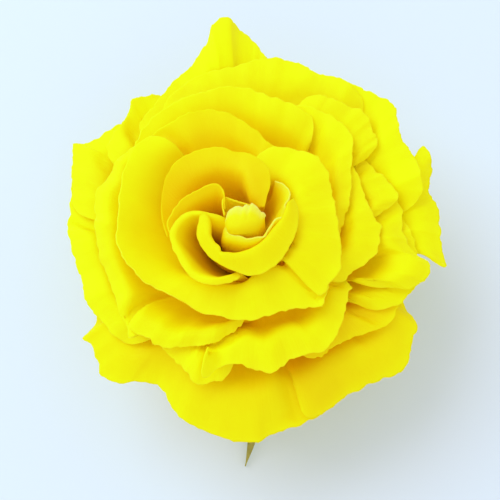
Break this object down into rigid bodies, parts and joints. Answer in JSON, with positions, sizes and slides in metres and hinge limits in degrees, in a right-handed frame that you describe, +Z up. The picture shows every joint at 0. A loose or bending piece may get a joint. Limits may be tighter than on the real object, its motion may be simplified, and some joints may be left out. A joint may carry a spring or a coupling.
{
  "type": "preserved rose",
  "caption": "Open preserved rose head with layered ruffled petals, reflexed sepals and a short cut stub; rests face up as a loose decoration.",
  "frame": {"origin": "centre of the stub's flat cut end, on the surface that the flower rests on", "axes": "+Z up along the flower's axis, -Y towards the side where the long sepal shows"},
  "size_m": [0.0938, 0.1104, 0.0605],
  "materials": {
    "petal_yellow": "soft matte preserved petal, lemon yellow with amber in the folds",
    "sepal_olive": "dull olive sepal, dried",
    "stem_green": "dull green-brown bark with a pale cut end"
  },
  "bodies": {
    "root": {"bloom": "petal_yellow", "calyx": "sepal_olive", "stem": "stem_green"}
  },
  "joints": []
}
